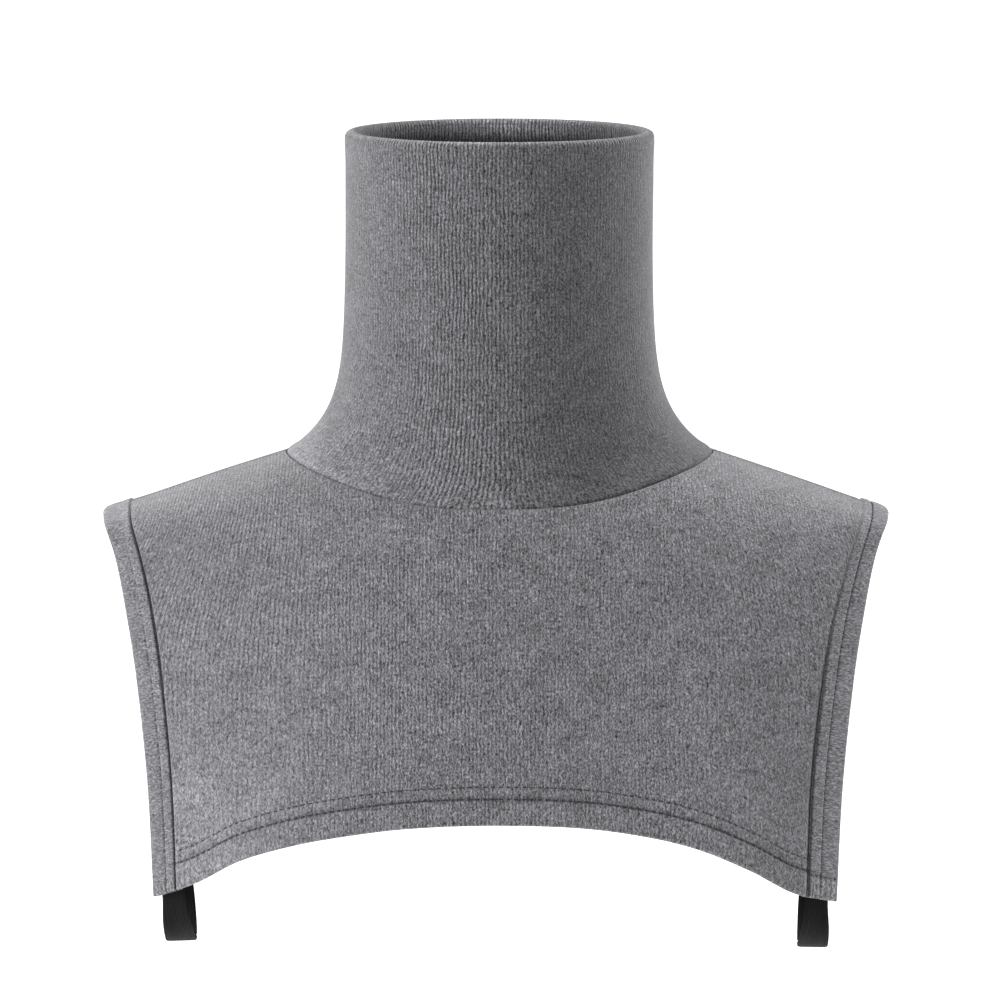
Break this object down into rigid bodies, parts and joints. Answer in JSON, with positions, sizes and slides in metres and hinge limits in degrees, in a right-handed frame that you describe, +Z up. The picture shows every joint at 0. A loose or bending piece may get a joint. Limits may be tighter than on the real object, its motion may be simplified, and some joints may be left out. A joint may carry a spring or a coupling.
{
  "type": "turtleneck dickey",
  "caption": "Heather grey knit dickey: a tall doubled turtleneck collar on a short bib with bound armholes and an elastic loop under each arm.",
  "frame": {"origin": "middle of the neck base, level with the points where the shoulder seams meet the collar", "axes": "+Z up through the collar, -Y the way the wearer faces, +X towards the wearer's left"},
  "size_m": [0.3343, 0.196, 0.3508],
  "materials": {
    "knit": "brushed heather grey rib knit",
    "binding": "heather grey knit cut across the rib",
    "elastic": "black woven elastic"
  },
  "bodies": {
    "root": {"collar": "knit", "front_panel": "knit", "back_panel": "knit", "armhole_binding_right": "binding", "armhole_binding_left": "binding", "elastic_loop_right": "elastic", "elastic_loop_left": "elastic"}
  },
  "joints": []
}
